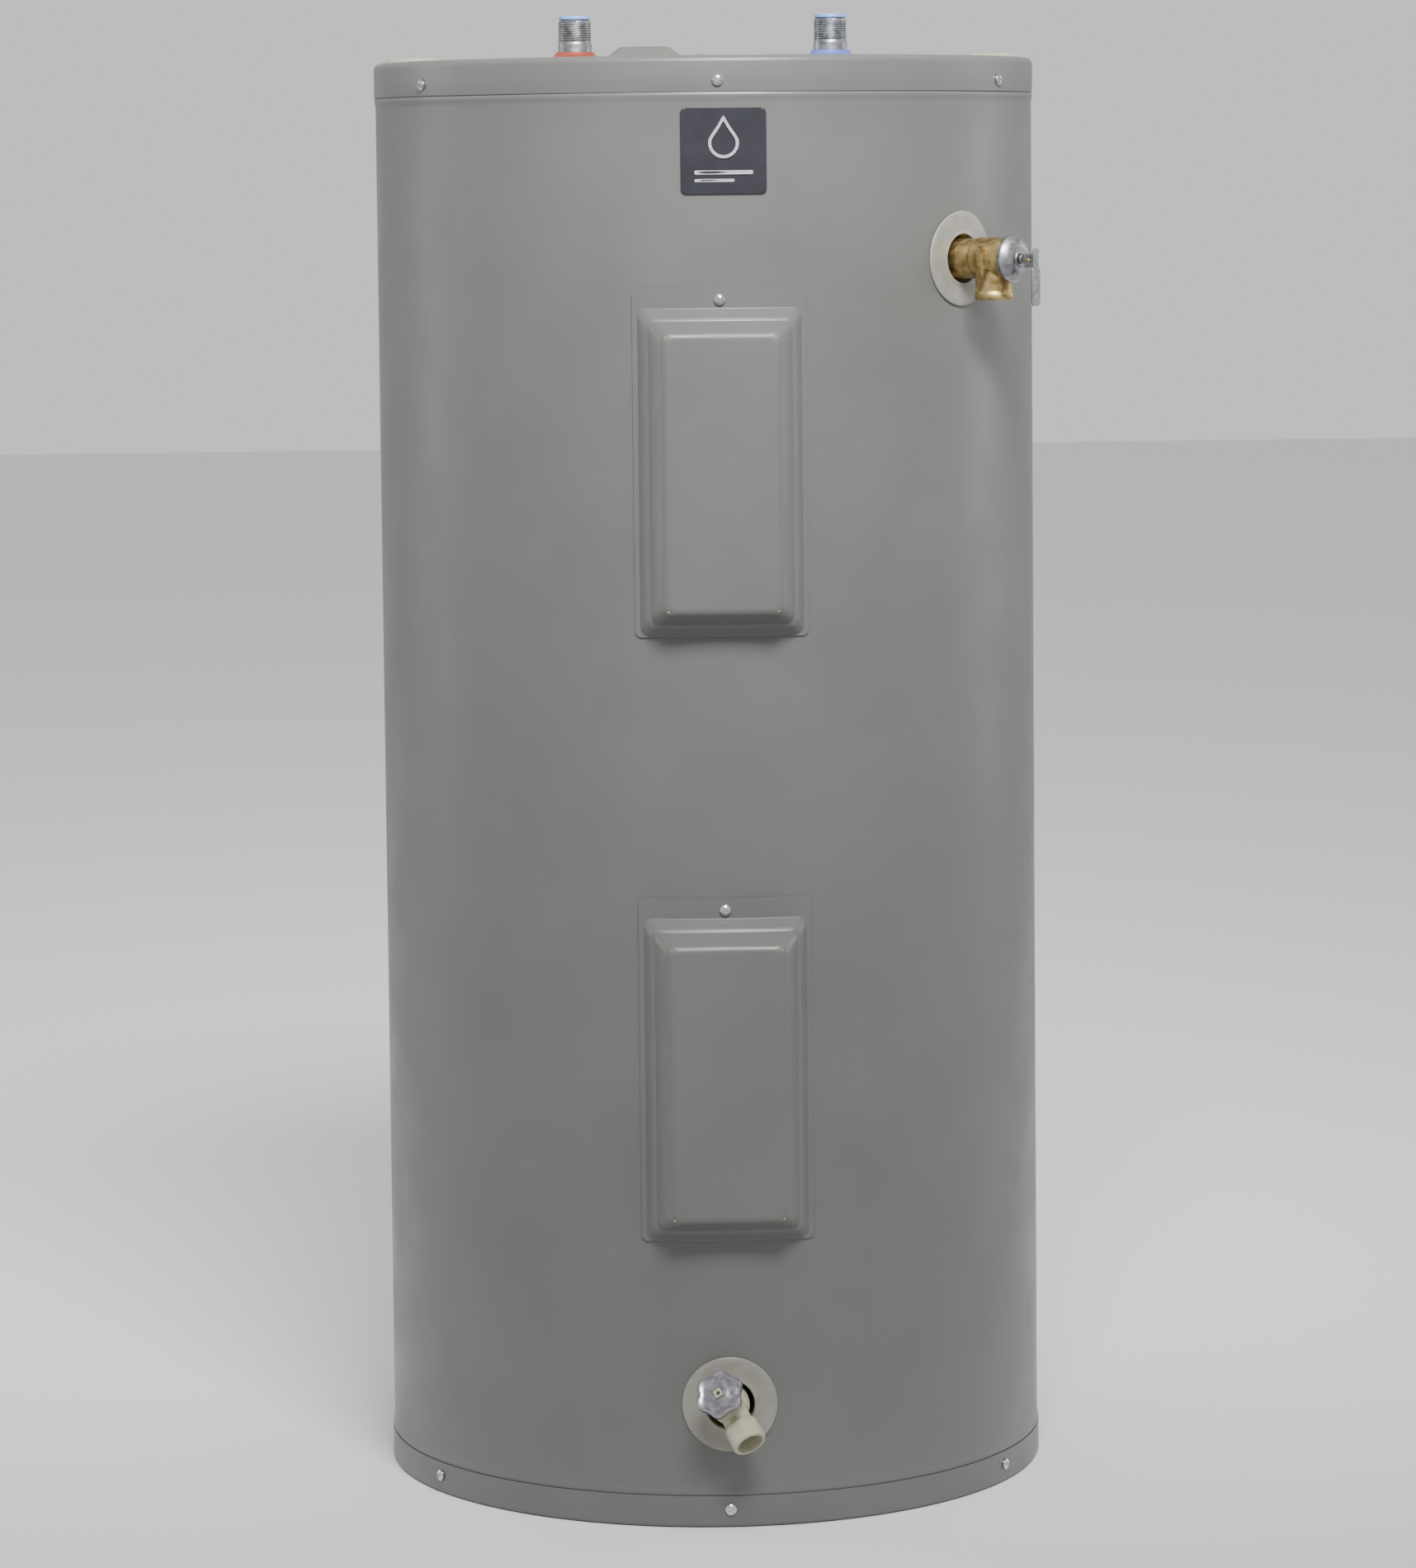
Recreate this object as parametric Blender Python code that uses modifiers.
"""Electric tank water heater, a short 20.5 inch model with both pipe connections on top.

A lined steel tank stands in a bottom pan, wrapped in foam and a sheet jacket, under a top pan. Two raised
covers on the front hide the thermostats and the screw-in heating elements. A relief valve with a test lever
and a drain valve with a handwheel come out through trim rings.
The origin is the middle of the base. +Z is up and -Y is the front. Azimuths turn from the front towards +X.
"""
import math

import bmesh
import bpy
from mathutils import Matrix, Vector

MM = 0.001

# Fits, sheet and faceting
GAP = 0.3 * MM  # left between pieces that touch
SHEET = 0.8 * MM  # jacket, pans and covers
BODY_STEPS = 36
PIPE_STEPS = 20
BORE_STEPS = 16
SCREW_STEPS = 8

# Body
JACKET_R = 260.35 * MM
BODY_TOP = 1118.5 * MM
FOAM_THICKNESS = 49.45 * MM
TOP_PAN_DEPTH = 27.3 * MM
BOTTOM_PAN_DEPTH = 24.1 * MM
PAN_ROUNDING = 4.0 * MM
BEAD_HEIGHT = 6.0 * MM
BEAD_RAISE = 0.95 * MM
PAN_SCREW_AZIMUTHS = (-58, 0, 58, 122, 180, 238)
TOP_SCREW_DROP = 18.5 * MM  # below the top face
BOTTOM_SCREW_HEIGHT = 14.0 * MM

# Tank
TANK_WALL = 2.5 * MM
HEAD_RISE = 60.0 * MM
HEAD_CLEARANCE = 48.5 * MM  # top of the tank to the top face
BOTTOM_HEAD_Z = 40.0 * MM
BOTTOM_HEAD_RISE = 35.0 * MM
SPUD_HEIGHT = 3.5 * MM
SPUD_WALL = 6.4 * MM
PIPE_THREAD_R = 13.335 * MM  # three-quarter inch pipe
NIPPLE_CHAMFER = 1.0 * MM
NIPPLE_TAPER = 0.4 * MM
SPUD_DEPTH = 12.0 * MM  # a pipe's boss goes this far into the head
ELEMENT_THREAD_R = 15.7 * MM

# Pipe connections on top
NIPPLE_SPACING = 203.2 * MM
NIPPLE_WALL = 3.8 * MM
NIPPLE_RISE = 33.5 * MM  # above the top face
NIPPLE_THREAD = 18.0 * MM
NIPPLE_INSIDE = 18.0 * MM  # below the tank's head
LINER_WALL = 1.2 * MM
LINER_LIP = 3.0 * MM
LINER_LENGTH = 60.0 * MM
COLLAR_R = 37.0 * MM
COLLAR_HEIGHT = 8.0 * MM
COLLAR_WALL = 1.5 * MM
COLLAR_BRIM = 5.0 * MM
LIP_INSET = 1.0 * MM
DIP_TUBE_END = 200.0 * MM
ANODE_LENGTH = 780.0 * MM
HOT_PORT_R = 4.0 * MM
HOT_PORT_ABOVE = 6.0 * MM  # above the top of the anode

# Foam plugs in the top pan
PLUG_R = 24.5 * MM
PLUG_HOLE_R = 19.0 * MM
PLUG_HEIGHT = 4.0 * MM
PLUG_SLOPE = 3.0 * MM
PLUG_RIM = 1.0 * MM
PLUG_INSET = 32.35 * MM  # from the jacket to the plug's middle

# Wiring box on top, its lid and the loose screw beside the cold pipe
BOX_CENTRE = Vector((-50.5 * MM, -106.0 * MM))
BOX_HALF = 23.0 * MM
BOX_DEPTH = 32.0 * MM
LID_LEFT, LID_RIGHT = -81.0 * MM, 7.5 * MM
LID_STEP = -20.0 * MM  # the raised part ends here
LID_HALF_DEPTH = 44.0 * MM
LID_RAISE = 8.2 * MM
LID_SLOPE = 14.0 * MM
LID_SCREW_X = -6.0 * MM
PAN_SCREW_AT = (80.0 * MM, -62.0 * MM)

# Access covers and what is behind them, heights from the middle of the heating element
UPPER_ELEMENT_DROP = 383.5 * MM  # below the top face
LOWER_ELEMENT_HEIGHT = 274.0 * MM
PANEL_BOTTOM, PANEL_TOP = -52.8 * MM, 195.0 * MM
PANEL_HALF = 62.8 * MM
FLANGE_SIDE = 3.5 * MM
FLANGE_TOP = 15.3 * MM
PANEL_SLOPES = ((7.8 * MM, 8.5 * MM), (1.8 * MM, 0.6 * MM), (9.4 * MM, 15.55 * MM))  # width, rise
HATCH_MARGIN = 10.8 * MM  # the cover's pressed part reaches past the hatch by this
POCKET_MARGIN = 4.0 * MM  # foam cut back from the hatch
PAD_CLEARANCE = 1.8 * MM  # from the insulation pad to the cover's slopes
THERMOSTAT_HALF = 28.0 * MM
THERMOSTAT_BOTTOM, THERMOSTAT_TOP = 35.0 * MM, 113.0 * MM
THERMOSTAT_DEPTH = 16.0 * MM
LIMIT_TOP = 166.0 * MM
DIAL_R = 9.0 * MM
DIAL_HEIGHT = 3.0 * MM
DIAL_ABOVE = 92.0 * MM
BUTTON_R = 4.0 * MM
BUTTON_ABOVE = 142.0 * MM
BUTTON_TRAVEL = 2.0 * MM
BUTTON_SUNK = 2.0 * MM
SLOT_HALF = 0.6 * MM  # screwdriver slot across a dial
ELEMENT_HEX_R = 21.5 * MM
ELEMENT_HEX = 6.7 * MM
ELEMENT_BLOCK_R = 12.0 * MM
ELEMENT_BLOCK = 8.0 * MM
ELEMENT_REACH = 320.0 * MM
ELEMENT_ROD_R = 4.0 * MM
ELEMENT_BEND_R = 9.0 * MM

# Screws
HEAD_R = 4.4 * MM
HEAD_HEIGHT = 3.0 * MM
SHANK_R = 1.9 * MM
SHANK = 6.0 * MM

# Badge
BADGE_HALF_WIDTH = 32.25 * MM
BADGE_HALF_HEIGHT = 32.1 * MM
BADGE_DROP = 71.5 * MM  # its middle below the top face
BADGE_AZIMUTH = 0.9
BADGE_CORNER = 4.0 * MM
BADGE_THICKNESS = 1.0 * MM

# Trim rings
RING_R = 36.55 * MM
RING_HOLE_R = 18.8 * MM
RING_THICKNESS = 2.0 * MM

# Relief valve: distances out from the jacket unless named otherwise
RELIEF_AZIMUTH = 46.6
RELIEF_DROP = 155.2 * MM  # below the top face
RELIEF_NECK_R = 15.5 * MM
RELIEF_BODY_R = 16.2 * MM
RELIEF_NECK_END = 18.0 * MM
RELIEF_BODY_END = 48.0 * MM
RELIEF_SEAT = 20.0 * MM
RELIEF_BORE_R = 7.0 * MM
RELIEF_CHAMBER_R = 12.0 * MM
RELIEF_OUTLET_AT = 31.6 * MM
RELIEF_OUTLET_R = 15.25 * MM
RELIEF_OUTLET_BORE_R = 10.5 * MM
RELIEF_OUTLET_LENGTH = 31.0 * MM  # down from the valve's axis
CAP_R = 18.15 * MM
CAP_END = 58.0 * MM
CAP_WALL = 1.4 * MM
STEM_R = 2.0 * MM
DISC_R = 10.0 * MM
DISC_THICKNESS = 3.2 * MM
SPRING_R = 7.2 * MM
SPRING_WIRE_R = 0.8 * MM
SPRING_TURNS = 5
PIVOT_OUT = 67.0 * MM
PIVOT_DOWN = 1.2 * MM
PIVOT_R = 1.2 * MM
EYE_R = 3.6 * MM
EAR_HALF = 5.5 * MM
EAR_INNER = 4.0 * MM  # the ears reach this far in from the pivot
PIN_END = 0.8 * MM
BAR_HALF = 3.5 * MM
BAR_RAISE = 1.5 * MM
BAR_ABOVE, BAR_BELOW = 10.0 * MM, 16.0 * MM
LEVER_SHEET = 1.2 * MM
LEVER_OUT = 4.0 * MM  # plate's inner face beyond the pivot
LEVER_ABOVE = 9.0 * MM
LEVER_BELOW = 34.5 * MM
LEVER_HALF = 5.0 * MM
PROBE_R = 4.0 * MM
PROBE_LENGTH = 120.0 * MM

# Drain valve: rolled about its inlet, its wheel tilts up and its outlet tilts down
DRAIN_HEIGHT = 95.3 * MM
DRAIN_ROLL = 31.0
DRAIN_NECK_R = 15.0 * MM
DRAIN_FORK = 14.0 * MM  # where the branches meet, out from the jacket
DRAIN_INLET_R = 5.0 * MM
DRAIN_NOSE = 3.0 * MM
WHEEL_TILT = 40.0
OUTLET_TILT = 48.0
BRANCH_R = 12.5 * MM
BRANCH_LENGTH = 13.0 * MM
DRAIN_CHAMBER_R = 8.3 * MM
CHAMBER_FLOOR = -3.0 * MM
WASHER_R = 7.4 * MM
WASHER_THICKNESS = 4.0 * MM
DRAIN_TRAVEL = 6.0 * MM
DRAIN_STEM_R = 3.3 * MM
STEM_FLANGE = 2.0 * MM
BONNET_R = 12.4 * MM
BONNET_END = 20.0 * MM
SPOUT_R = 13.25 * MM
SPOUT_NECK_R = 10.8 * MM
SPOUT_BORE_R = 10.0 * MM
SPOUT_START = 18.0 * MM
SPOUT_END = 35.0 * MM
WHEEL_AT = 25.8 * MM
WHEEL_THICKNESS = 6.0 * MM
WHEEL_R = 17.7 * MM
WHEEL_LOBE = 1.3 * MM
WHEEL_LOBES = 6
HUB_SQUARE = 6.1 * MM
HUB_HOLE_R = 1.75 * MM
HUB_HOLE_DEPTH = 5.0 * MM
STEM_PROUD = 1.0 * MM  # the stem stands past the wheel

# Worked out from the sizes above
TANK_R = JACKET_R - SHEET - FOAM_THICKNESS - 2 * GAP
PAN_OUTER_R = JACKET_R + GAP + SHEET
TANK_TOP = BODY_TOP - HEAD_CLEARANCE
SHOULDER_Z = TANK_TOP - HEAD_RISE
JACKET_TOP = BODY_TOP - PAN_ROUNDING - GAP
FOAM_TOP = BODY_TOP - SHEET - GAP
SPUD_OUT = TANK_R + SPUD_HEIGHT
ELEMENT_FRONT = SPUD_OUT + GAP + ELEMENT_HEX + ELEMENT_BLOCK
PIPE_BORE_R = PIPE_THREAD_R + GAP  # collars and pan holes round a pipe
RELIEF_HEIGHT = BODY_TOP - RELIEF_DROP
LINER_R = PIPE_THREAD_R - NIPPLE_WALL - GAP
NIPPLE_TOP = BODY_TOP + NIPPLE_RISE
LEVER_NECK_HALF = STEM_R + GAP + LEVER_SHEET
COVER_BACK_R = JACKET_R + 2 * GAP
COVER_FACE = COVER_BACK_R + SHEET + sum(rise for _, rise in PANEL_SLOPES)
SLOPES_WIDTH = sum(width for width, _ in PANEL_SLOPES)
PAD_MARGIN = SLOPES_WIDTH + PAD_CLEARANCE

ACROSS = Matrix.Rotation(math.pi / 2, 4, "Y")

for old in list(bpy.data.objects):
    bpy.data.objects.remove(old, do_unlink=True)
parts = bpy.data.collections.new("tank_water_heater")
cutters = bpy.data.collections.new("cutters")
bpy.context.scene.collection.children.link(parts)
bpy.context.scene.collection.children.link(cutters)


def finish(name, colour, roughness, metallic=0.0):
    """A plain material in one finish."""
    made = bpy.data.materials.new(name)
    made.use_nodes = True
    shader = made.node_tree.nodes["Principled BSDF"]
    shader.inputs["Base Color"].default_value = (*colour, 1.0)
    shader.inputs["Roughness"].default_value = roughness
    shader.inputs["Metallic"].default_value = metallic
    return made


def outward(azimuth, height, roll=0.0):
    """A frame on the tank's axis: local Z points out of the jacket, local Y up, local X to the right."""
    turn = math.radians(azimuth)
    axes = Matrix((
        (math.cos(turn), 0, math.sin(turn)),
        (math.sin(turn), 0, -math.cos(turn)),
        (0, 1, 0),
    )).to_4x4()
    return Matrix.Translation((0, 0, height)) @ axes @ Matrix.Rotation(math.radians(roll), 4, "Z")


def shifted(frame, x=0.0, y=0.0, z=0.0):
    return frame @ Matrix.Translation((x, y, z))


def tipped(frame, degrees):
    """The frame with its Z tipped up towards its Y, or down when the angle is negative."""
    return frame @ Matrix.Rotation(math.radians(-degrees), 4, "X")


def upright(x=0.0, y=0.0, z=0.0):
    return Matrix.Translation((x, y, z))


def add(name, mesh, frame, look=None):
    """A new object in the parts collection, or a cutter when it has no look."""
    made = bpy.data.objects.new(name, mesh)
    made.matrix_world = frame
    if look is None:
        cutters.objects.link(made)
        made.hide_render = True
        made.display_type = "WIRE"
    else:
        parts.objects.link(made)
        mesh.materials.append(finish(name, *look))
    return made


def drawn(bm, name):
    mesh = bpy.data.meshes.new(name)
    bm.to_mesh(mesh)
    bm.free()
    return mesh


def turned(name, profile, frame=Matrix(), look=None, steps=BODY_STEPS, ring=False):
    """Turns (radius, height) points about the frame's Z, down the outside first. A ring closes on itself."""
    bm = bmesh.new()
    verts = [bm.verts.new((radius, 0, height)) for radius, height in profile]
    ends = verts[1:] + verts[:1] if ring else verts[1:]
    for start, end in zip(verts, ends):
        bm.edges.new((start, end))
    made = add(name, drawn(bm, name), frame, look)
    screw = made.modifiers.new("Turn", "SCREW")
    screw.steps = screw.render_steps = steps
    screw.use_merge_vertices = True
    screw.merge_threshold = 0.00001
    return made


def tube(name, outer, inner, low, high, frame=Matrix(), look=None, steps=PIPE_STEPS):
    profile = ((outer, high), (outer, low), (inner, low), (inner, high))
    return turned(name, profile, frame, look, steps, ring=True)


def rod(name, radius, low, high, frame=Matrix(), look=None, steps=BORE_STEPS):
    bm = bmesh.new()
    bmesh.ops.create_cone(
        bm, cap_ends=True, segments=steps, radius1=radius, radius2=radius, depth=high - low,
        matrix=Matrix.Translation((0, 0, (low + high) / 2)),
    )
    return add(name, drawn(bm, name), frame, look)


def block(name, low, high, frame=Matrix(), look=None):
    low, high = Vector(low), Vector(high)
    bm = bmesh.new()
    bmesh.ops.create_cube(bm, size=1)
    bmesh.ops.scale(bm, vec=high - low, verts=bm.verts)
    bmesh.ops.translate(bm, vec=(low + high) / 2, verts=bm.verts)
    return add(name, drawn(bm, name), frame, look)


def combine(piece, operation, *tools):
    for tool in tools:
        step = piece.modifiers.new(tool.name, "BOOLEAN")
        step.operation = operation
        step.object = tool


def cut(piece, *tools):
    combine(piece, "DIFFERENCE", *tools)


def join(piece, *tools):
    combine(piece, "UNION", *tools)


def wrap(bm, radius, flat=()):
    """Bends a panel drawn in X and Y round the jacket. The vertices in flat stay in one plane."""
    for vert in bm.verts:
        x, y, z = vert.co
        if vert in flat:
            vert.co = (x, y, radius + z)
        else:
            vert.co = ((radius + z) * math.sin(x / radius), y, (radius + z) * math.cos(x / radius))


def thicken(piece, thickness):
    """Gives a sheet drawn at its back face its thickness, outwards."""
    step = piece.modifiers.new("Sheet", "SOLIDIFY")
    step.thickness = thickness
    step.offset = 1
    step.use_even_offset = True


STEEL_PAINT = ((0.29, 0.29, 0.28), 0.45)
LINED_STEEL = ((0.08, 0.12, 0.2), 0.5)
ZINC = ((0.6, 0.6, 0.6), 0.3, 1.0)
BRASS = ((0.5, 0.37, 0.17), 0.35, 1.0)
CHROME = ((0.8, 0.8, 0.8), 0.1, 1.0)
IVORY = ((0.6, 0.57, 0.42), 0.45)
TRIM_PLASTIC = ((0.5, 0.49, 0.44), 0.5)
BAKELITE = ((0.02, 0.02, 0.02), 0.4)
FOAM = ((0.75, 0.68, 0.45), 0.9)
RED_PLASTIC = ((0.26, 0.05, 0.03), 0.45)
BLUE_PLASTIC = ((0.09, 0.16, 0.47), 0.45)
LINER_PLASTIC = ((0.16, 0.3, 0.68), 0.4)
WHITE_PLASTIC = ((0.8, 0.8, 0.76), 0.5)
PLUG_PLASTIC = ((0.5, 0.48, 0.38), 0.6)
ANODE_METAL = ((0.55, 0.55, 0.56), 0.6, 1.0)
CONTROL_RED = ((0.6, 0.04, 0.03), 0.4)
RUBBER = ((0.02, 0.02, 0.02), 0.8)
BADGE_FILM = ((0.03, 0.03, 0.045), 0.3)


def screw(name, frame, look=CHROME):
    """A pan-head screw whose head sits a gap above the frame's origin."""
    profile = (
        (0, HEAD_HEIGHT + GAP), (HEAD_R * 0.66, HEAD_HEIGHT * 0.8 + GAP), (HEAD_R, HEAD_HEIGHT * 0.25 + GAP),
        (HEAD_R, GAP), (SHANK_R, GAP), (SHANK_R, -SHANK), (0, -SHANK - SHANK_R),
    )
    return turned(name, profile, frame, look, SCREW_STEPS)


def screw_hole(name, frame):
    return rod(name, SHANK_R + GAP, -SHANK, SHANK, frame, steps=SCREW_STEPS)


def head_profile(radius, shoulder, rise, points=4):
    """The dished top of a tank: points from its middle down to the shoulder."""
    turns = [math.pi / 2 * index / points for index in range(points + 1)]
    return [(radius * math.sin(turn), shoulder + rise * math.cos(turn)) for turn in turns]


def make_body():
    """Both pans, the jacket and the screws between them."""
    rim = PAN_OUTER_R - PAN_ROUNDING
    soft = PAN_ROUNDING * (1 - math.cos(math.pi / 4))
    inside = soft + SHEET * math.cos(math.pi / 4)
    top_pan = turned("top_pan", (
        (0, BODY_TOP), (rim, BODY_TOP), (PAN_OUTER_R - soft, BODY_TOP - soft),
        (PAN_OUTER_R, BODY_TOP - PAN_ROUNDING), (PAN_OUTER_R, BODY_TOP - TOP_PAN_DEPTH),
        (PAN_OUTER_R - SHEET, BODY_TOP - TOP_PAN_DEPTH), (PAN_OUTER_R - SHEET, BODY_TOP - PAN_ROUNDING),
        (PAN_OUTER_R - inside, BODY_TOP - inside), (rim, BODY_TOP - SHEET), (0, BODY_TOP - SHEET),
    ), look=STEEL_PAINT)
    bottom_pan = turned("bottom_pan", (
        (0, SHEET), (PAN_OUTER_R - SHEET, SHEET), (PAN_OUTER_R - SHEET, BOTTOM_PAN_DEPTH),
        (PAN_OUTER_R, BOTTOM_PAN_DEPTH), (PAN_OUTER_R, SHEET), (PAN_OUTER_R - SHEET, 0), (0, 0),
    ), look=STEEL_PAINT)
    inner = JACKET_R - SHEET
    bead_top = BODY_TOP - TOP_PAN_DEPTH - GAP
    bead_low = BOTTOM_PAN_DEPTH + GAP
    raised = JACKET_R + BEAD_RAISE
    foot = SHEET + GAP
    jacket = turned("jacket", (
        (JACKET_R, JACKET_TOP), (JACKET_R, bead_top), (raised, bead_top), (JACKET_R, bead_top - BEAD_HEIGHT),
        (JACKET_R, bead_low + BEAD_HEIGHT), (raised, bead_low), (JACKET_R, bead_low), (JACKET_R, foot),
        (inner, foot), (inner, JACKET_TOP),
    ), look=STEEL_PAINT, ring=True)
    rows = (("top", top_pan, BODY_TOP - TOP_SCREW_DROP), ("bottom", bottom_pan, BOTTOM_SCREW_HEIGHT))
    for level, pan, height in rows:
        for number, azimuth in enumerate(PAN_SCREW_AZIMUTHS, 1):
            frame = shifted(outward(azimuth, height), z=PAN_OUTER_R)
            screw(f"{level}_screw_{number}", frame)
            hole = screw_hole(f"cut_{level}_screw_{number}", frame)
            cut(pan, hole)
            cut(jacket, hole)
    return top_pan, jacket


def make_tank():
    """The lined steel tank: a skirted shell with a dished head at each end."""
    inside = TANK_R - TANK_WALL
    foot = SHEET + GAP
    tank = turned("tank", (
        *head_profile(TANK_R, SHOULDER_Z, HEAD_RISE), (TANK_R, foot), (inside, foot),
        (inside, BOTTOM_HEAD_Z), (0, BOTTOM_HEAD_Z + BOTTOM_HEAD_RISE),
    ), look=LINED_STEEL)
    water = turned("cut_water_space", (
        *head_profile(inside, SHOULDER_Z, HEAD_RISE - TANK_WALL), (inside, BOTTOM_HEAD_Z + TANK_WALL),
        (0, BOTTOM_HEAD_Z + BOTTOM_HEAD_RISE + TANK_WALL),
    ))
    cut(tank, water)
    return tank


def make_foam():
    """One block of foam from the skirt to the top pan, held back from the rim, where the screws are."""
    outer = JACKET_R - SHEET - GAP
    inner = TANK_R + GAP
    step = outer - 2 * SHANK
    step_z = BODY_TOP - TOP_PAN_DEPTH
    dome = head_profile(inner, SHOULDER_Z, HEAD_RISE + GAP)
    return turned("foam_insulation", (
        (0, FOAM_TOP), (step, FOAM_TOP), (step, step_z), (outer, step_z), (outer, BOTTOM_PAN_DEPTH),
        (inner, BOTTOM_PAN_DEPTH), *reversed(dome),
    ), look=FOAM)


def spud(name, tank, foam, frame, thread_r, low, high):
    """A threaded boss on the tank, with room for it in the foam."""
    boss_r = thread_r + GAP + SPUD_WALL
    join(tank, rod(f"add_{name}", boss_r, low, high, frame, steps=PIPE_STEPS))
    cut(tank, rod(f"cut_{name}", thread_r + GAP, low - TANK_WALL, high + TANK_WALL, frame, steps=PIPE_STEPS))
    cut(foam, rod(f"cut_{name}_foam", boss_r + GAP, low, high + JACKET_R, frame, steps=PIPE_STEPS))


def make_connections(tank, foam, top_pan):
    """The cold inlet on the right and the hot outlet on the left, each a nipple, a liner and a collar."""
    reach = NIPPLE_SPACING / 2
    head_z = SHOULDER_Z + HEAD_RISE * math.sqrt(1 - (reach / TANK_R) ** 2)
    bottom = head_z - NIPPLE_INSIDE
    seat = BODY_TOP + GAP
    for side, x, collar_look in (("cold", reach, BLUE_PLASTIC), ("hot", -reach, RED_PLASTIC)):
        frame = upright(x)
        spud(f"{side}_spud", tank, foam, frame, PIPE_THREAD_R, head_z - SPUD_DEPTH, head_z + 2 * SPUD_HEIGHT)
        nipple = turned(f"{side}_nipple", (
            (PIPE_THREAD_R - NIPPLE_CHAMFER, NIPPLE_TOP),
            (PIPE_THREAD_R - NIPPLE_TAPER, NIPPLE_TOP - NIPPLE_CHAMFER),
            (PIPE_THREAD_R, NIPPLE_TOP - NIPPLE_THREAD), (PIPE_THREAD_R, bottom),
            (PIPE_THREAD_R - NIPPLE_WALL, bottom), (PIPE_THREAD_R - NIPPLE_WALL, NIPPLE_TOP),
        ), frame, ZINC, PIPE_STEPS, ring=True)
        lip = NIPPLE_TOP + GAP
        turned(f"{side}_liner", (
            (PIPE_THREAD_R - LIP_INSET, lip + LINER_LIP), (PIPE_THREAD_R - LIP_INSET, lip), (LINER_R, lip),
            (LINER_R, lip - LINER_LENGTH), (LINER_R - LINER_WALL, lip - LINER_LENGTH),
            (LINER_R - LINER_WALL, lip + LINER_LIP),
        ), frame, LINER_PLASTIC, BORE_STEPS, ring=True)
        turned(f"{side}_collar", (
            (PIPE_BORE_R + COLLAR_WALL, seat + COLLAR_HEIGHT),
            (PIPE_BORE_R + 4 * COLLAR_WALL, seat + COLLAR_HEIGHT * 0.55),
            (COLLAR_R - COLLAR_BRIM, seat + COLLAR_WALL), (COLLAR_R, seat + COLLAR_WALL * 0.8),
            (COLLAR_R, seat), (PIPE_BORE_R, seat), (PIPE_BORE_R, seat + COLLAR_HEIGHT),
        ), frame, collar_look, PIPE_STEPS, ring=True)
        cut(top_pan, rod(f"cut_{side}_pan", PIPE_BORE_R + GAP, BODY_TOP - 3 * SHEET, BODY_TOP + SHEET, frame))
        if side == "cold":
            tube("dip_tube", LINER_R, LINER_R - LINER_WALL, DIP_TUBE_END, lip - LINER_LENGTH - GAP, frame,
                 WHITE_PLASTIC, BORE_STEPS)
        else:
            anode_top = bottom + NIPPLE_INSIDE / 2
            turned("anode_rod", (
                (0, anode_top), (LINER_R, anode_top), (LINER_R, anode_top - ANODE_LENGTH + LINER_R),
                (0, anode_top - ANODE_LENGTH),
            ), frame, ANODE_METAL, BORE_STEPS)
            port = upright(x, 0, anode_top + HOT_PORT_ABOVE) @ ACROSS
            reach_out = 2 * PIPE_THREAD_R
            cut(nipple, rod("cut_hot_ports", HOT_PORT_R, -reach_out, reach_out, port, steps=SCREW_STEPS))


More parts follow.
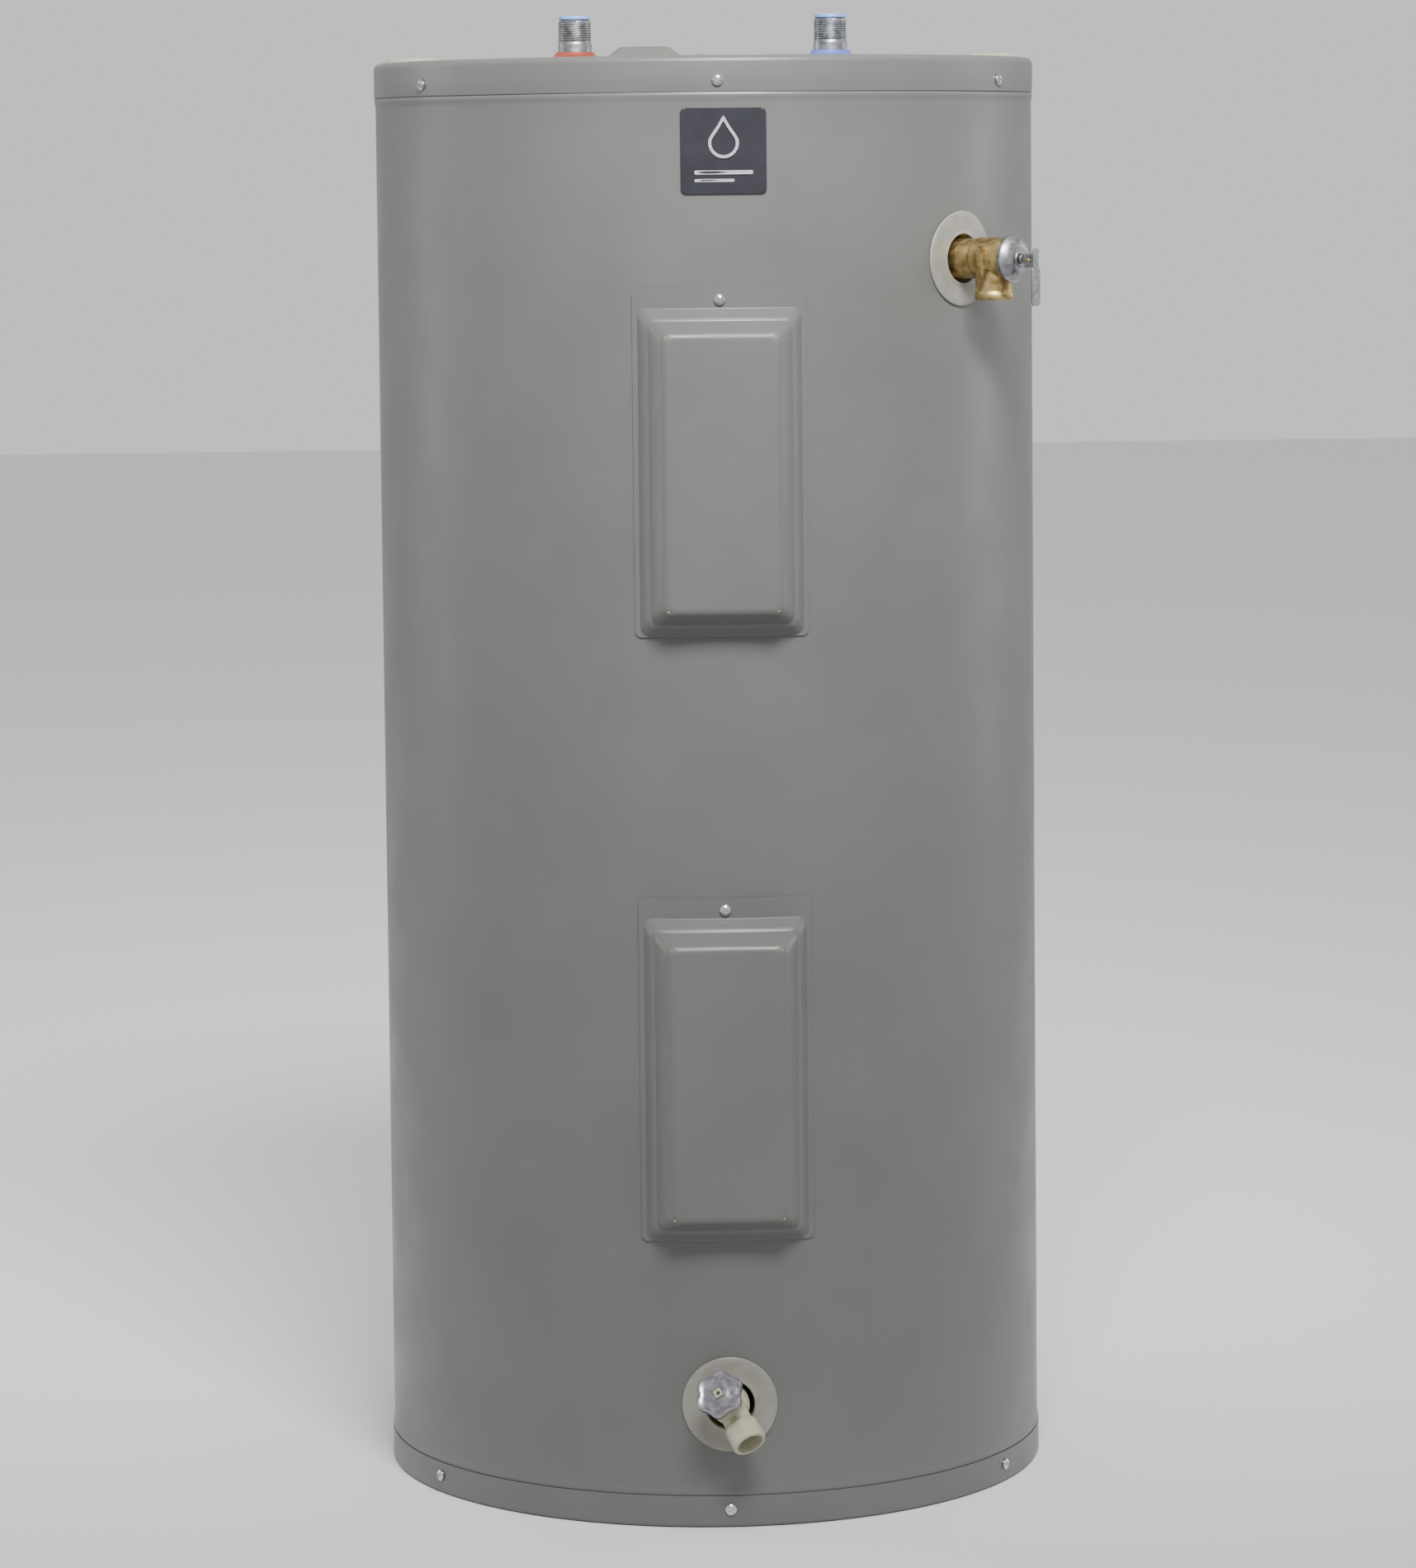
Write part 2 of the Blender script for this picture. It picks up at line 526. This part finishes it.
def make_top_fittings(foam, top_pan):
    """Foam plugs, the wiring box under its raised lid, and the screws on the top pan."""
    for side, x in (("left", PLUG_INSET - JACKET_R), ("right", JACKET_R - PLUG_INSET)):
        seat = BODY_TOP + GAP
        frame = upright(x)
        turned(f"foam_plug_{side}", (
            (0, seat + PLUG_HEIGHT), (PLUG_R - PLUG_SLOPE, seat + PLUG_HEIGHT), (PLUG_R, seat + PLUG_RIM),
            (PLUG_R, seat), (PLUG_HOLE_R, seat), (PLUG_HOLE_R, BODY_TOP - SHEET), (0, BODY_TOP - SHEET),
        ), frame, PLUG_PLASTIC, PIPE_STEPS)
        low, high = BODY_TOP - 2 * SHEET, BODY_TOP + SHEET
        cut(top_pan, rod(f"cut_plug_{side}", PLUG_HOLE_R + GAP, low, high, frame, steps=PIPE_STEPS))

    centre = upright(BOX_CENTRE.x, BOX_CENTRE.y)
    box_top = BODY_TOP - SHEET - GAP
    floor = box_top - BOX_DEPTH
    box = block("junction_box", (-BOX_HALF, -BOX_HALF, floor), (BOX_HALF, BOX_HALF, box_top), centre, ZINC)
    room = BOX_HALF - SHEET
    cut(box, block("cut_box_inside", (-room, -room, floor + SHEET), (room, room, box_top + SHEET), centre))
    around = BOX_HALF + GAP
    cut(foam, block("cut_box_foam", (-around, -around, floor - GAP), (around, around, BODY_TOP), centre))
    low, high = BODY_TOP - 2 * SHEET, BODY_TOP + SHEET
    cut(top_pan, block("cut_box_mouth", (-room, -room, low), (room, room, high), centre))

    bm = bmesh.new()
    bmesh.ops.create_grid(bm, x_segments=1, y_segments=1, size=0.5)
    width = LID_RIGHT - LID_LEFT
    bmesh.ops.scale(bm, vec=(width, 2 * LID_HALF_DEPTH, 1), verts=bm.verts)
    bmesh.ops.translate(bm, vec=((LID_LEFT + LID_RIGHT) / 2, 0, 0), verts=bm.verts)
    bisect(bm, (LID_STEP, 0, 0), (1, 0, 0))
    raised = [face for face in bm.faces if face.calc_center_median().x < LID_STEP]
    bmesh.ops.inset_region(bm, faces=raised, thickness=LID_SLOPE, depth=LID_RAISE, use_boundary=True)
    on_top = upright(0, BOX_CENTRE.y, BODY_TOP + GAP)
    lid = add("junction_cover", drawn(bm, "junction_cover"), on_top, STEEL_PAINT)
    thicken(lid, SHEET)
    for name, at, through in (("junction_cover_screw", (LID_SCREW_X, BOX_CENTRE.y), (lid, top_pan, foam)),
                              ("top_pan_screw", PAN_SCREW_AT, (top_pan, foam))):
        seat = BODY_TOP + SHEET + GAP if lid in through else BODY_TOP
        frame = upright(*at, seat)
        screw(name, frame)
        hole = rod(f"cut_{name}", SHANK_R + GAP, -2 * SHANK, SHANK, frame, steps=SCREW_STEPS)
        for piece in through:
            cut(piece, hole)


def bisect(bm, point, normal):
    bmesh.ops.bisect_plane(bm, geom=bm.verts[:] + bm.edges[:] + bm.faces[:], plane_co=point, plane_no=normal)


def access_cover(name, height):
    """A pressed cover: a curved flange, two slopes with a ledge between them, and a flat raised face."""
    bm = bmesh.new()
    bmesh.ops.create_grid(bm, x_segments=1, y_segments=1, size=0.5)
    top = PANEL_TOP + FLANGE_TOP
    bmesh.ops.scale(bm, vec=(2 * (PANEL_HALF + FLANGE_SIDE), top - PANEL_BOTTOM, 1), verts=bm.verts)
    bmesh.ops.translate(bm, vec=(0, (top + PANEL_BOTTOM) / 2, 0), verts=bm.verts)
    face_half = PANEL_HALF - SLOPES_WIDTH - FLANGE_SIDE
    for place in (-PANEL_HALF, -face_half, -face_half / 2, 0, face_half / 2, face_half, PANEL_HALF):
        bisect(bm, (place, 0, 0), (1, 0, 0))
    bisect(bm, (0, PANEL_TOP, 0), (0, 1, 0))
    middles = [(face, face.calc_center_median()) for face in bm.faces]
    raised = [face for face, middle in middles if abs(middle.x) < PANEL_HALF and middle.y < PANEL_TOP]
    for width, rise in PANEL_SLOPES:
        bmesh.ops.inset_region(
            bm, faces=raised, thickness=width, depth=rise, use_boundary=True, use_even_offset=True,
        )
    face = {vert for part in raised for vert in part.verts}
    wrap(bm, COVER_BACK_R, flat=face)
    cover = add(name, drawn(bm, name), outward(0, height), STEEL_PAINT)
    thicken(cover, SHEET)
    return cover


def make_compartment(level, height, jacket, foam, tank):
    """One element with its thermostat, insulation pad and cover."""
    frame = outward(0, height)
    cover = access_cover(f"{level}_access_cover", height)
    seat = shifted(frame, y=PANEL_TOP + FLANGE_TOP * 0.4, z=COVER_BACK_R + SHEET)
    screw(f"{level}_cover_screw", seat)
    hole = screw_hole(f"cut_{level}_cover_screw", seat)
    cut(cover, hole)
    cut(jacket, hole)
    half = PANEL_HALF - HATCH_MARGIN
    low, high = PANEL_BOTTOM + HATCH_MARGIN, PANEL_TOP - HATCH_MARGIN
    cut(jacket, block(f"cut_{level}_hatch", (-half, low, TANK_R), (half, high, COVER_FACE), frame))
    wide = half + POCKET_MARGIN
    cut(foam, block(f"cut_{level}_pocket", (-wide, low - POCKET_MARGIN, TANK_R - FOAM_THICKNESS),
                    (wide, PANEL_TOP + FLANGE_TOP, COVER_FACE), frame))

    back = TANK_R + 2 * GAP
    front = back + THERMOSTAT_DEPTH
    pad_half = PANEL_HALF - PAD_MARGIN
    pad_back = max(front + DIAL_HEIGHT + GAP, ELEMENT_FRONT) + GAP
    block(f"{level}_insulation_pad", (-pad_half, PANEL_BOTTOM + PAD_MARGIN, pad_back),
          (pad_half, PANEL_TOP - PAD_MARGIN, COVER_FACE - SHEET - GAP), frame, FOAM)
    block(f"{level}_thermostat", (-THERMOSTAT_HALF, THERMOSTAT_BOTTOM, back),
          (THERMOSTAT_HALF, THERMOSTAT_TOP, front), frame, BAKELITE)
    at_dial = shifted(frame, y=DIAL_ABOVE, z=front + GAP)
    dial = rod(f"{level}_dial", DIAL_R, 0, DIAL_HEIGHT, at_dial, CONTROL_RED)
    slot = block(f"cut_{level}_dial_slot", (-DIAL_R * 0.7, -SLOT_HALF, DIAL_HEIGHT / 2),
                 (DIAL_R * 0.7, SLOT_HALF, 2 * DIAL_HEIGHT), at_dial)
    cut(dial, slot)
    if level == "upper":
        limit = block("high_limit", (-THERMOSTAT_HALF, THERMOSTAT_TOP + 2 * GAP, back),
                      (THERMOSTAT_HALF, LIMIT_TOP, front), frame, BAKELITE)
        at_button = shifted(frame, y=BUTTON_ABOVE, z=front)
        well = BUTTON_SUNK + BUTTON_TRAVEL + 2 * GAP
        cut(limit, rod("cut_reset_well", BUTTON_R + GAP, -well, BUTTON_SUNK, at_button))
        rod("reset_button", BUTTON_R, -BUTTON_SUNK, DIAL_HEIGHT, at_button, CONTROL_RED)

    make_element(level, frame, tank, foam)


def make_element(level, frame, tank, foam):
    """A screw-in element: a hexagon head with a terminal block, and a hairpin sheath inside the tank."""
    spud(f"{level}_element_spud", tank, foam, frame, ELEMENT_THREAD_R, TANK_R - 2 * TANK_WALL, SPUD_OUT)
    seat = SPUD_OUT + GAP
    inner = TANK_R - 4 * TANK_WALL
    element = turned(f"{level}_element", (
        (0, seat + ELEMENT_HEX), (ELEMENT_HEX_R, seat + ELEMENT_HEX), (ELEMENT_HEX_R, seat), (0, seat),
    ), frame, ZINC, 6)
    inside = seat + 2 * SHEET
    thread = rod(f"add_{level}_thread", ELEMENT_THREAD_R, inner, inside, frame, steps=BORE_STEPS)
    terminal = rod(f"add_{level}_block", ELEMENT_BLOCK_R, inside, ELEMENT_FRONT, frame, steps=12)
    curve = bpy.data.curves.new(f"{level}_sheath", "CURVE")
    curve.dimensions = "3D"
    curve.bevel_depth = ELEMENT_ROD_R
    curve.bevel_resolution = 1
    curve.use_fill_caps = True
    far = inner - ELEMENT_REACH + ELEMENT_BEND_R
    bend = [math.pi * index / 6 for index in range(7)]
    path = [(0, ELEMENT_BEND_R, inner + 2 * TANK_WALL)]
    path += [(0, ELEMENT_BEND_R * math.cos(turn), far - ELEMENT_BEND_R * math.sin(turn)) for turn in bend]
    path += [(0, -ELEMENT_BEND_R, inner + 2 * TANK_WALL)]
    spline = curve.splines.new("POLY")
    spline.points.add(len(path) - 1)
    for point, place in zip(spline.points, path):
        point.co = (*place, 1)
    join(element, thread, terminal, solid_from(curve, frame))


def solid_from(curve, frame):
    """The mesh of a curve as a cutter, with its end caps welded on."""
    guide = add(f"guide_{curve.name}", curve, frame)
    bpy.context.view_layer.update()
    mesh = bpy.data.meshes.new_from_object(guide.evaluated_get(bpy.context.evaluated_depsgraph_get()))
    bm = bmesh.new()
    bm.from_mesh(mesh)
    bmesh.ops.remove_doubles(bm, verts=bm.verts, dist=0.00001)
    bpy.data.objects.remove(guide)
    return add(f"add_{curve.name}", drawn(bm, f"add_{curve.name}"), frame)


def trim_ring(name, frame):
    """A flat ring bent to the jacket."""
    bm = bmesh.new()
    for radius in (RING_R, RING_HOLE_R):
        bmesh.ops.create_circle(bm, segments=PIPE_STEPS, radius=radius)
    bmesh.ops.bridge_loops(bm, edges=bm.edges[:])
    bmesh.ops.recalc_face_normals(bm, faces=bm.faces)
    if sum(face.normal.z for face in bm.faces) < 0:
        bmesh.ops.reverse_faces(bm, faces=bm.faces)
    wrap(bm, COVER_BACK_R)
    ring = add(name, drawn(bm, name), frame, TRIM_PLASTIC)
    thicken(ring, RING_THICKNESS)


def make_badge():
    bm = bmesh.new()
    bmesh.ops.create_grid(bm, x_segments=4, y_segments=1, size=0.5)
    bmesh.ops.scale(bm, vec=(2 * BADGE_HALF_WIDTH, 2 * BADGE_HALF_HEIGHT, 1), verts=bm.verts)
    corners = [vert for vert in bm.verts if len(vert.link_edges) == 2]
    bmesh.ops.bevel(
        bm, geom=corners, offset=BADGE_CORNER, segments=3, profile=0.5, affect="VERTICES", material=-1,
    )
    wrap(bm, COVER_BACK_R)
    badge = add("badge", drawn(bm, "badge"), outward(BADGE_AZIMUTH, BODY_TOP - BADGE_DROP), BADGE_FILM)
    thicken(badge, BADGE_THICKNESS)


def make_relief_valve(tank, foam, jacket):
    """Body with a downward outlet, cap, spring, disc and stem, and the test lever on its pin."""
    frame = outward(RELIEF_AZIMUTH, RELIEF_HEIGHT)
    spud("relief_spud", tank, foam, frame, PIPE_THREAD_R, TANK_R - 2 * TANK_WALL, SPUD_OUT)
    cut(jacket, rod("cut_relief_jacket", RING_HOLE_R - GAP, TANK_R, COVER_FACE, frame, steps=PIPE_STEPS))
    trim_ring("relief_trim_ring", frame)
    inner = TANK_R - 4 * TANK_WALL
    body_end = JACKET_R + RELIEF_BODY_END
    neck_end = JACKET_R + RELIEF_NECK_END
    seat = JACKET_R + RELIEF_SEAT
    body = turned("relief_body", (
        (0, body_end), (RELIEF_BODY_R, body_end), (RELIEF_BODY_R, neck_end),
        (RELIEF_NECK_R, neck_end - SHEET), (RELIEF_NECK_R, SPUD_OUT + GAP), (PIPE_THREAD_R, SPUD_OUT + GAP),
        (PIPE_THREAD_R, inner), (0, inner),
    ), frame, BRASS, PIPE_STEPS)
    outlet = tipped(shifted(frame, z=JACKET_R + RELIEF_OUTLET_AT), -90)
    bar = RELIEF_BODY_R + BAR_RAISE
    join(body,
         rod("add_relief_outlet", RELIEF_OUTLET_R, 0, RELIEF_OUTLET_LENGTH, outlet, steps=PIPE_STEPS),
         block("add_relief_bar", (-bar, -BAR_HALF, -BAR_ABOVE), (bar, BAR_HALF, BAR_BELOW), outlet))
    cut(body,
        rod("cut_relief_inlet", RELIEF_BORE_R, inner - GAP, seat + GAP, frame),
        rod("cut_relief_chamber", RELIEF_CHAMBER_R, seat, body_end + GAP, frame, steps=PIPE_STEPS),
        rod("cut_relief_outlet", RELIEF_OUTLET_BORE_R, 0, RELIEF_OUTLET_LENGTH + GAP, outlet))

    cap_end = JACKET_R + CAP_END
    skirt = JACKET_R + RELIEF_OUTLET_AT + RELIEF_OUTLET_R + GAP
    hole = STEM_R + GAP
    under = body_end + GAP
    turned("relief_cap", (
        (hole, cap_end), (CAP_R / 2, cap_end), (CAP_R * 0.83, cap_end - 2 * CAP_WALL),
        (CAP_R, body_end + 3 * CAP_WALL), (CAP_R, skirt), (RELIEF_BODY_R + GAP, skirt),
        (RELIEF_BODY_R + GAP, under), (RELIEF_CHAMBER_R, under),
        (SPRING_R * 1.35, cap_end - 2 * CAP_WALL), (SPRING_R, cap_end - CAP_WALL), (hole, cap_end - CAP_WALL),
    ), frame, ZINC, PIPE_STEPS, ring=True)

    pivot = shifted(frame, y=-PIVOT_DOWN, z=JACKET_R + PIVOT_OUT)
    disc_top = seat + GAP + DISC_THICKNESS
    tip = JACKET_R + PIVOT_OUT - EYE_R / 2
    stem = turned("relief_stem", (
        (0, tip), (STEM_R, tip), (STEM_R, disc_top), (DISC_R, disc_top),
        (DISC_R, seat + GAP), (0, seat + GAP),
    ), frame, ZINC, BORE_STEPS)
    hinge = pivot @ ACROSS
    join(stem, rod("add_stem_eye", EYE_R, -STEM_R, STEM_R, hinge, steps=BORE_STEPS))
    pin_hole = rod("cut_pin_hole", PIVOT_R + GAP, -2 * LEVER_HALF, 2 * LEVER_HALF, hinge, steps=SCREW_STEPS)
    cut(stem, pin_hole)
    make_lever(pivot, pin_hole)
    pin = LEVER_NECK_HALF + PIN_END
    rod("relief_lever_pin", PIVOT_R, -pin, pin, hinge, BRASS, SCREW_STEPS)

    make_relief_spring(frame, disc_top + GAP + SPRING_WIRE_R, cap_end - CAP_WALL - GAP - SPRING_WIRE_R)
    bore = RELIEF_BORE_R - GAP
    probe_top = seat - PROBE_R
    turned("relief_probe", (
        (0, probe_top), (bore, probe_top), (bore, probe_top - 2 * PROBE_R),
        (PROBE_R, probe_top - 2 * PROBE_R - SHEET),
        (PROBE_R, inner - PROBE_LENGTH), (0, inner - PROBE_LENGTH - PROBE_R),
    ), frame, BRASS, 6)


def make_lever(pivot, pin_hole):
    """The test lever: a neck between two ears on the pin, and a wider blade hanging below."""
    plate = LEVER_OUT + LEVER_SHEET
    proud = 0.1 * MM
    low = -EAR_HALF - LEVER_SHEET
    lever = block("relief_lever", (-LEVER_NECK_HALF, low, LEVER_OUT),
                  (LEVER_NECK_HALF, LEVER_ABOVE, plate), pivot, ZINC)
    blade = block("add_lever_blade", (-LEVER_HALF, -LEVER_BELOW, LEVER_OUT - proud),
                  (LEVER_HALF, -EAR_HALF, plate + proud), pivot)
    inside = LEVER_NECK_HALF - LEVER_SHEET
    ears = [block(f"add_lever_ear_{side}", (left, -EAR_HALF, -EAR_INNER),
                  (left + LEVER_SHEET, EAR_HALF, LEVER_OUT + LEVER_SHEET / 2), pivot)
            for side, left in (("left", -LEVER_NECK_HALF), ("right", inside))]
    join(lever, blade, *ears)
    cut(lever, pin_hole)


def make_relief_spring(frame, low, high):
    per_turn = 10
    curve = bpy.data.curves.new("relief_spring", "CURVE")
    curve.dimensions = "3D"
    curve.bevel_depth = SPRING_WIRE_R
    curve.bevel_resolution = 1
    curve.use_fill_caps = True
    spline = curve.splines.new("POLY")
    count = SPRING_TURNS * per_turn
    spline.points.add(count)
    for index, point in enumerate(spline.points):
        turn = 2 * math.pi * index / per_turn
        climb = low + (high - low) * index / count
        point.co = (SPRING_R * math.cos(turn), SPRING_R * math.sin(turn), climb, 1)
    add("relief_spring", curve, frame, ZINC)


def make_drain_valve(tank, foam, jacket):
    """A moulded body rolled about its inlet, with a washer on a screwed stem turned by the handwheel."""
    frame = outward(0, DRAIN_HEIGHT, DRAIN_ROLL)
    spud("drain_spud", tank, foam, frame, PIPE_THREAD_R, TANK_R - 2 * TANK_WALL, SPUD_OUT)
    cut(jacket, rod("cut_drain_jacket", RING_HOLE_R - GAP, TANK_R, COVER_FACE, frame, steps=PIPE_STEPS))
    trim_ring("drain_trim_ring", outward(0, DRAIN_HEIGHT))
    inner = TANK_R - 4 * TANK_WALL
    fork = JACKET_R + DRAIN_FORK
    wheel_axis = tipped(shifted(frame, z=fork), WHEEL_TILT)
    outlet = tipped(shifted(frame, z=fork), -OUTLET_TILT)
    body = turned("drain_body", (
        (0, fork + DRAIN_NOSE), (DRAIN_NECK_R * 0.6, fork + DRAIN_NOSE * 0.7),
        (DRAIN_NECK_R, fork - DRAIN_NOSE), (DRAIN_NECK_R, SPUD_OUT + GAP), (PIPE_THREAD_R, SPUD_OUT + GAP),
        (PIPE_THREAD_R, inner), (0, inner),
    ), frame, IVORY, PIPE_STEPS)
    join(body,
         rod("add_drain_branch", BRANCH_R, -BRANCH_LENGTH / 2, BRANCH_LENGTH, wheel_axis, steps=PIPE_STEPS),
         turned("add_drain_spout", (
             (0, SPOUT_END), (SPOUT_R, SPOUT_END), (SPOUT_R, SPOUT_START),
             (SPOUT_NECK_R, SPOUT_START - DRAIN_NOSE), (SPOUT_NECK_R, 0), (0, 0),
         ), outlet, steps=PIPE_STEPS))
    cut(body,
        rod("cut_drain_chamber", DRAIN_CHAMBER_R, CHAMBER_FLOOR, BRANCH_LENGTH + GAP, wheel_axis),
        rod("cut_drain_inlet", DRAIN_INLET_R, inner - GAP, fork - SHEET, frame, steps=12),
        rod("cut_drain_waterway", DRAIN_INLET_R, 0, SPOUT_START + 2 * SHEET, outlet, steps=12),
        rod("cut_drain_mouth", SPOUT_BORE_R, SPOUT_START + SHEET, SPOUT_END + GAP, outlet))

    washer_top = CHAMBER_FLOOR + GAP + WASHER_THICKNESS
    rod("drain_washer", WASHER_R, CHAMBER_FLOOR + GAP, washer_top, wheel_axis, RUBBER, 12)
    stem_hole = DRAIN_STEM_R + GAP
    plug_low = washer_top + GAP + STEM_FLANGE + DRAIN_TRAVEL + 2 * GAP
    under = BRANCH_LENGTH + GAP
    bonnet = rod("drain_bonnet", BONNET_R, under, BONNET_END, wheel_axis, IVORY, 6)
    join(bonnet, rod("add_bonnet_plug", DRAIN_CHAMBER_R - GAP, plug_low, under + SHEET, wheel_axis))
    cut(bonnet, rod("cut_bonnet_bore", stem_hole, plug_low - SHEET, BONNET_END + SHEET, wheel_axis, steps=12))

    stem_low = washer_top + GAP
    square_low = BONNET_END + 2 * MM
    end = WHEEL_AT + WHEEL_THICKNESS + STEM_PROUD
    half = HUB_SQUARE / 2
    flange_r = WASHER_R - SHEET
    stem = turned("drain_stem", (
        (0, square_low + SHEET), (DRAIN_STEM_R, square_low + SHEET), (DRAIN_STEM_R, stem_low + STEM_FLANGE),
        (flange_r, stem_low + STEM_FLANGE), (flange_r, stem_low), (0, stem_low),
    ), wheel_axis, IVORY, 12)
    join(stem, block("add_stem_square", (-half, -half, square_low), (half, half, end), wheel_axis))
    hole = rod("cut_stem_hole", HUB_HOLE_R, end - HUB_HOLE_DEPTH, end + SHEET, wheel_axis, steps=SCREW_STEPS)
    cut(stem, hole)
    make_handwheel(shifted(wheel_axis, z=WHEEL_AT + WHEEL_THICKNESS / 2))


def make_handwheel(frame):
    """A lobed wheel cut from plate, with a square hole that takes the stem."""
    curve = bpy.data.curves.new("drain_handwheel", "CURVE")
    curve.dimensions = "2D"
    curve.fill_mode = "BOTH"
    curve.extrude = WHEEL_THICKNESS / 2
    per_lobe = 8
    count = WHEEL_LOBES * per_lobe
    rim = []
    for index in range(count):
        turn = 2 * math.pi * index / count
        radius = WHEEL_R + WHEEL_LOBE * math.cos(WHEEL_LOBES * turn)
        rim.append((radius * math.cos(turn), radius * math.sin(turn)))
    half = HUB_SQUARE / 2 + GAP
    square = ((-half, -half), (half, -half), (half, half), (-half, half))
    for outline in (rim, square):
        spline = curve.splines.new("POLY")
        spline.points.add(len(outline) - 1)
        spline.use_cyclic_u = True
        for point, (x, y) in zip(spline.points, outline):
            point.co = (x, y, 0, 1)
    add("drain_handwheel", curve, frame, ZINC)


def main():
    top_pan, jacket = make_body()
    tank = make_tank()
    foam = make_foam()
    make_connections(tank, foam, top_pan)
    make_top_fittings(foam, top_pan)
    make_compartment("upper", BODY_TOP - UPPER_ELEMENT_DROP, jacket, foam, tank)
    make_compartment("lower", LOWER_ELEMENT_HEIGHT, jacket, foam, tank)
    make_relief_valve(tank, foam, jacket)
    make_drain_valve(tank, foam, jacket)
    make_badge()


main()
